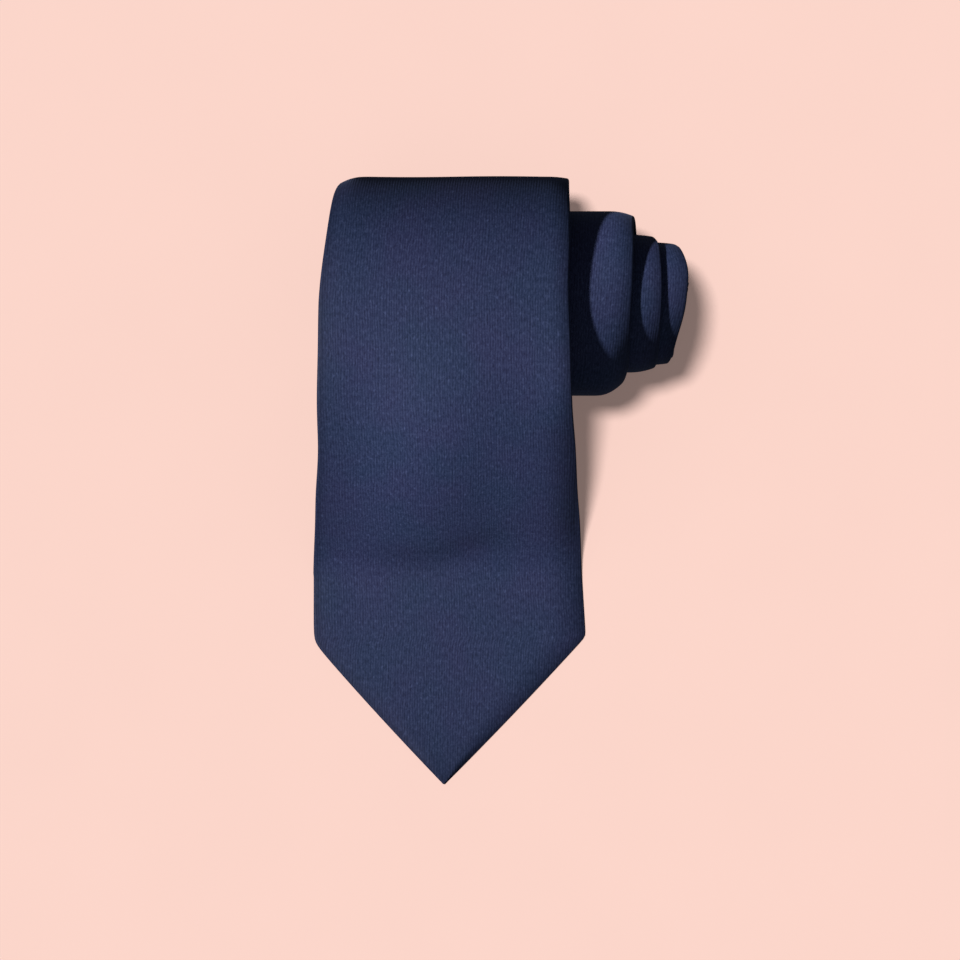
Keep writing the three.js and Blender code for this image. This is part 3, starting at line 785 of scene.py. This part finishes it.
# Name, start, end, bodies, where the bend starts and ends, and the silk nodes it stands for.
STRETCHES = [
    ("blade", FIRST_LENGTH, DRAPE_MIDDLE, ("tip", "drape"), TIP_BEND,
     ["silk_blade_tip", "silk_blade_drape"]),
    ("fold_over", DRAPE_MIDDLE, quarter_length(1), ("drape", "outer"), along_y(40, 76),
     ["silk_blade_drape", "silk_outer_turn"]),
    ("outer_turn", quarter_length(1), quarter_length(2), ("outer",), None, ["silk_outer_turn"]),
    ("first_turn_near", quarter_length(2), quarter_length(4), ("outer", "first"), along_z(4, 48),
     ["silk_first_turn"]),
    ("first_turn_far", quarter_length(4), quarter_length(6), ("first",), None, ["silk_first_turn"]),
    ("second_turn_near", quarter_length(6), quarter_length(8), ("first", "second"), along_z(7, 46),
     ["silk_second_turn"]),
    ("second_turn_far", quarter_length(8), quarter_length(10), ("second",), None,
     ["silk_second_turn"]),
    ("third_turn_near", quarter_length(10), quarter_length(12), ("second", "core"), along_z(9, 44),
     ["silk_third_turn"]),
    ("third_turn_far", quarter_length(12), quarter_length(14), ("core",), None, ["silk_third_turn"]),
    ("neck", quarter_length(14), quarter_length(24), ("core",), None, ["silk_neck"]),
    ("tail", quarter_length(24), TIE_LENGTH, ("core",), None, ["silk_tail"]),
]
# The same for the interlining and the slip stitch: the last part of their nodes' names.
INNER_NODES = {
    "blade": ["blade_tip", "drape"],
    "fold_over": ["drape", "outer"],
    "outer_turn": ["outer"],
    "first_turn_near": ["first"],
    "first_turn_far": ["first"],
    "second_turn_near": ["second"],
    "second_turn_far": ["second"],
    "third_turn_near": ["core"],
    "third_turn_far": ["core"],
    "neck": ["core"],
    "tail": ["core"],
}


def attach(obj, bodies):
    """The piece rides on one body; a piece between two bodies only has its placement baked into its
    points.
    """
    names = [BODY[b] for b in bodies]
    if len(names) == 1:
        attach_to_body(obj, names[0])
    else:
        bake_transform(obj)


def finished_width(lengths):
    """The tie's width at some lengths, as it lies folded."""
    st = stations(lengths)
    return (st["right"] - st["left"])[:, 0]


def declare_sheet(start, end, cut_width):
    """Works out the cloth's cut width at each length along the strip; nothing uses the result."""
    lengths = np.linspace(start, end, 60)
    width = cut_width(lengths) * MM


def add_silk():
    """The shell, one piece for each stretch. What is inside the roll has fewer faces."""
    for name, start, end, bodies, bend, nodes in STRETCHES:
        inner = name in ("neck", "tail")
        profile = silk_profile(18, 6, 6) if inner else silk_profile()
        step = 1.6 if name == "neck" else 1.2
        obj = swept(f"silk_{name}_cloth", start, end, profile, SILK_CLOTH, step)
        attach(obj, bodies)
        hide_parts(*nodes)
        declare_sheet(start, end, lambda s: 2 * finished_width(s))


def add_interlining():
    """The stiff strip inside, kept clear of both points."""
    for name, start, end, bodies, bend, _ in STRETCHES:
        start = max(start, 7.0)
        end = min(end, TIE_LENGTH - 14)
        obj = swept(f"interlining_{name}_wool", start, end, interlining_profile, WOOL_CLOTH, 2.4)
        attach(obj, bodies)
        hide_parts(*[f"interlining_{n}" for n in INNER_NODES[name]])
        declare_sheet(start, end, lambda s: INTERLINING_SHARE * finished_width(s))


def stitch_parts(start, end):
    """The slip stitches that show: slanted ones across the seam, evenly spaced."""
    parts = []
    for at in np.arange(math.ceil(start / STITCH_SPACING) * STITCH_SPACING, end - 2.5, STITCH_SPACING):
        share = np.linspace(0, 1, 7)
        x = -1.25 + 2.5 * share
        depth = -0.02 - 0.16 * np.sin(share * math.pi) ** 2 - 0.12 * (np.abs(share - 0.5) > 0.45)
        parts.append(tube(thread_path(at + 1.6 * share, x, depth), 0.13 * MM, 5))
    return parts


def add_stitches():
    """The slip stitch down the back, from the window to the tail's point."""
    for name, start, end, bodies, bend, _ in STRETCHES:
        start = max(start, WINDOW_APEX_Y - TIP[1] + 3)
        end = min(end, TIE_LENGTH - TAIL_POINT_LENGTH)
        points, faces = joined(stitch_parts(start, end))
        obj = new_mesh(f"slip_stitch_{name}_thread", points, faces, THREAD)
        attach(obj, bodies)
        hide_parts(*[f"slip_stitch_{n}" for n in INNER_NODES[name]])


def bar_tack(name, node, at, half_width, bodies):
    """A bar of thread across the seam: parallel threads bound by short ones."""
    parts = []
    for k in range(5):
        share = np.linspace(-1, 1, 9)
        lengths = at + 0.32 * (k - 2) + 0 * share
        depth = 0.04 - 0.16 * share**6
        parts.append(tube(thread_path(lengths, half_width * share, depth), 0.15 * MM))
    for x in np.arange(-half_width + 0.5, half_width - 0.3, 0.42):
        turn = np.linspace(-1, 1, 7)
        depth = 0.2 - 0.34 * turn**2
        parts.append(tube(thread_path(at + 0.86 * turn, x + 0 * turn, depth), 0.11 * MM, 5))
    points, faces = joined(parts)
    obj = new_mesh(name, points, faces, THREAD)
    attach(obj, bodies)
    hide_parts(node)


def add_tipping():
    """The linings of both ends."""
    start, end = HEM * math.sqrt(2) + 1.0, WINDOW_APEX_Y - TIP[1] - 0.6
    obj = swept("blade_tipping_satin", start, end, tipping_profile, LINING_CLOTH, 1.0)
    attach(obj, ("tip", "drape"))
    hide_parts("blade_tipping")
    declare_sheet(start, end, lambda s: 2 * (opening_at(s) - TIPPING_INSET))
    start, end = TIE_LENGTH - 60, TIE_LENGTH - 6
    tail = swept("tail_tipping_satin", start, end, tail_tipping_profile, LINING_CLOTH, 1.2)
    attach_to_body(tail, BODY["core"])
    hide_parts("tail_tipping")
    declare_sheet(start, end, lambda s: TAIL_TIPPING_SHARE * finished_width(s))


def keeper_band():
    """The band of cloth across the blade's back, standing off it in the middle."""
    turn = np.linspace(0, 2 * math.pi, 20, endpoint=False)
    along = KEEPER_LENGTH / 2 * squarer(np.cos(turn), 0.35)
    through = KEEPER_THICKNESS / 2 * squarer(np.sin(turn), 0.6)
    rings, uvs = [], []
    for share in np.linspace(-1, 1, 29):
        middle = max(0.0, math.cos(share * math.pi / 2))
        st = stations(KEEPER_CENTRE + along * (1 - 0.04 * middle))
        x = np.full(len(along), share * KEEPER_HALF_WIDTH)
        gap = 0.25 + 1.45 * middle**0.6
        depth = st["thick"] + (gap + KEEPER_THICKNESS / 2 + through)[:, None]
        rings.append(place(st, x[:, None], depth)[:, 0])
        uvs.append(np.stack([KEEPER_CENTRE + along, x], 1))
    points = np.array(rings)
    return new_mesh("keeper_loop_band", points.reshape(-1, 3), ring_faces(*points.shape[:2]),
                    SILK_CLOTH, np.concatenate(uvs) * MM)


def add_keeper():
    """The keeper loop, and the threads that tack down its ends."""
    loop = keeper_band()
    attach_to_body(loop, BODY["drape"])
    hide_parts("keeper_loop")
    for side, node in ((-1, "keeper_tack_left"), (1, "keeper_tack_right")):
        parts = []
        for k in range(9):
            at = KEEPER_CENTRE + 1.25 * (k - 4)
            share = np.linspace(0, 1, 7)
            x = side * (KEEPER_HALF_WIDTH - 1.6 + 3.1 * share)
            depth = 1.28 - 1.5 * share**2.2
            parts.append(tube(thread_path(at + 0.5 * share, x, depth), 0.15 * MM))
        points, faces = joined(parts)
        obj = new_mesh(f"{node}_threads", points, faces, THREAD)
        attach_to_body(obj, BODY["drape"])
        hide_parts(node)


def add_label():
    """A blank care label, sewn along its upper edge and a little curled."""
    half = LABEL_WIDTH / 2
    count = 26
    turn = np.linspace(0, 2 * math.pi, count, endpoint=False)
    x = half * squarer(np.cos(turn), 0.3)
    rings, uvs = [], []
    for at in np.linspace(LABEL_END, LABEL_START, 25):
        st = stations(np.full(count, at))
        away = (LABEL_END - at) / (LABEL_END - LABEL_START)
        lift = 0.55 + 0.35 * away**2 + 0.25 * away * (x / half) ** 2
        depth = st["thick"] + (lift + 0.14 * squarer(np.sin(turn), 0.5))[:, None]
        rings.append(place(st, x[:, None], depth)[:, 0])
        uvs.append(np.stack([x, np.full(count, at)], 1))
    points = np.array(rings)
    obj = new_mesh("care_label_tape", points.reshape(-1, 3), ring_faces(*points.shape[:2]),
                   LABEL_TAPE, np.concatenate(uvs) * MM)
    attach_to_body(obj, "care_label")
    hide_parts("care_label")
    parts = []
    share = np.linspace(0, 1, 6)
    for x0 in np.arange(-half + 1.2, half - 1.6, 2.1):
        depth = 0.1 + 0.28 * np.sin(share * math.pi)
        path = thread_path(LABEL_END + 0.7 + 0 * share, x0 + 1.5 * share, depth)
        parts.append(tube(path, 0.12 * MM, 5))
    points, faces = joined(parts)
    stitch = new_mesh("care_label_stitch_thread", points, faces, THREAD)
    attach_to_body(stitch, BODY["drape"])
    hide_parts("care_label_stitch")


def add_seams():
    """The two joins between the silk panels, as a fine sewn ridge over the front."""
    for node, quarter in (("neck_seam_blade_side", 14), ("neck_seam_tail_side", 24)):
        at = quarter_length(quarter)
        st = stations([at])
        half = float(st["half"][0, 0]) - 1.5
        thick = float(st["thick"][0, 0])
        share = np.linspace(-1, 1, 41)
        path = thread_path(at + 0 * share, half * share, 0.1 - thick + 0 * share)
        points, faces = tube(path, 0.12 * MM)
        obj = new_mesh(f"{node}_ridge", points, faces, THREAD)
        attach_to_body(obj, BODY["core"])
        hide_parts(node)


add_silk()
add_interlining()
add_stitches()
bar_tack("blade_bar_tack_threads", "blade_bar_tack", WINDOW_APEX_Y - TIP[1] + 1.2, 2.6,
         ("tip", "drape"))
bar_tack("tail_bar_tack_threads", "tail_bar_tack", TIE_LENGTH - TAIL_POINT_LENGTH + 1, 1.6,
         ("core",))
add_tipping()
add_keeper()
add_label()
add_seams()


# ---- Stage, light and camera ----

FLOOR_COLOUR = (0.99, 0.682, 0.597)
FLOOR_GLOW = 0.17  # keeps the shadows on the floor pale
FLOOR_HALF = 6.0
BACKDROP_COLOUR = (0.965, 0.665, 0.59, 1)
AMBIENT_COLOUR, AMBIENT_STRENGTH = (0.85, 0.9, 1.0, 1), 0.08
CAMERA_HEIGHT = 1.3
CAMERA_X, CAMERA_Y = -0.00645, 0.0013
VIEW_WIDTH = 0.3168  # metres across the picture, at the table
SENSOR = 36.0
KEY_AIM = (-0.02, 0.05, 0.04)
KEY_DISTANCE = 1.3
KEY_CONE = 28
INNER_TURNS = ("silk_first", "silk_second", "silk_third", "silk_neck", "silk_tail")
BLADE_KEY_FROM = (-0.78, -0.2, 0.62)
ROLL_KEY_FROM = (-0.76, 0.37, 0.55)


def add_floor():
    """A wide pale sheet of paper."""
    corners = [(x * FLOOR_HALF, y * FLOOR_HALF, 0) for x, y in ((-1, -1), (1, -1), (1, 1), (-1, 1))]
    n = Nodes("plain_paper")
    mottle = n.noise(n.object_space(0.02), detail=2)
    paler = tuple(min(1.0, 1.01 * c) for c in FLOOR_COLOUR)
    colour = n.ramp(mottle, [(0.3, FLOOR_COLOUR), (0.7, paler)])
    n.link(colour, n.shader.inputs["Base Color"])
    n.link(colour, n.shader.inputs["Emission Color"])
    n.set(Roughness=0.95, Specular_IOR_Level=0.0, Emission_Strength=FLOOR_GLOW)
    floor = new_mesh("floor", corners, [[0, 1, 2, 3]], n.material)
    floor.visible_diffuse = False
    floor.visible_glossy = False
    return floor


def add_sun(name, direction, strength, angle):
    """A far soft lamp; direction points from the object to the lamp."""
    light = bpy.data.lights.new(name, "SUN")
    light.energy = strength
    light.angle = math.radians(angle)
    lamp = bpy.data.objects.new(name, light)
    lamp.rotation_euler = Vector(direction).to_track_quat("Z", "Y").to_euler()
    bpy.context.scene.collection.objects.link(lamp)
    return lamp


def only_on(lamp, objects, state):
    """Lets a lamp light the objects alone (INCLUDE), or all but them (EXCLUDE)."""
    receivers = bpy.data.collections.new(f"{lamp.name}_receivers")
    for obj in objects:
        receivers.objects.link(obj)
    for item in receivers.collection_objects:
        item.light_linking.link_state = state
    lamp.light_linking.receiver_collection = receivers


def add_key(name, direction, power, radius):
    """A soft spot lamp aimed at the roll, whose beam fades towards its rim."""
    light = bpy.data.lights.new(name, "SPOT")
    light.energy = power
    light.color = (1.0, 0.99, 0.98)
    light.spot_size = math.radians(KEY_CONE)
    light.spot_blend = 1.0
    light.shadow_soft_size = radius
    lamp = bpy.data.objects.new(name, light)
    direction = Vector(direction).normalized()
    lamp.location = Vector(KEY_AIM) + direction * KEY_DISTANCE
    lamp.rotation_euler = direction.to_track_quat("Z", "Y").to_euler()
    bpy.context.scene.collection.objects.link(lamp)
    return lamp


def add_light(floor):
    """Lamps for the cloth, which leave out the floor, and lamps for the floor alone."""
    turns = [o for o in bpy.data.objects if o.name.startswith(INNER_TURNS)]
    blade_key = add_key("blade_key", BLADE_KEY_FROM, power=96, radius=0.09)
    only_on(blade_key, [floor, *turns], "EXCLUDE")
    roll_key = add_key("roll_key", ROLL_KEY_FROM, power=106, radius=0.05)
    only_on(roll_key, turns, "INCLUDE")
    only_on(add_sun("fill_light", (0.5, -0.55, 0.5), 0.14, 40), [floor], "EXCLUDE")
    only_on(add_sun("floor_light", (-0.19, 0.17, 0.96), 2.4, 10), [floor], "INCLUDE")


def add_world():
    """A pale backdrop for the camera, and a dim even light for everything else."""
    world = bpy.data.worlds.new("studio")
    bpy.context.scene.world = world
    world.use_nodes = True
    tree = world.node_tree
    seen = tree.nodes["Background"]
    seen.inputs["Color"].default_value = BACKDROP_COLOUR
    dim = tree.nodes.new("ShaderNodeBackground")
    dim.inputs["Color"].default_value = AMBIENT_COLOUR
    dim.inputs["Strength"].default_value = AMBIENT_STRENGTH
    ray = tree.nodes.new("ShaderNodeLightPath")
    mix = tree.nodes.new("ShaderNodeMixShader")
    tree.links.new(ray.outputs["Is Camera Ray"], mix.inputs[0])
    tree.links.new(dim.outputs[0], mix.inputs[1])
    tree.links.new(seen.outputs[0], mix.inputs[2])
    tree.links.new(mix.outputs[0], tree.nodes["World Output"].inputs["Surface"])


def add_camera():
    """A camera straight above the object."""
    data = bpy.data.cameras.new("camera")
    data.sensor_width = SENSOR
    data.lens = SENSOR * CAMERA_HEIGHT / VIEW_WIDTH
    data.clip_start, data.clip_end = 0.01, 20
    camera = bpy.data.objects.new("camera", data)
    camera.location = (CAMERA_X, CAMERA_Y, CAMERA_HEIGHT)
    bpy.context.scene.collection.objects.link(camera)
    bpy.context.scene.camera = camera


add_light(add_floor())
add_world()
add_camera()
bpy.context.scene.view_settings.view_transform = "Standard"
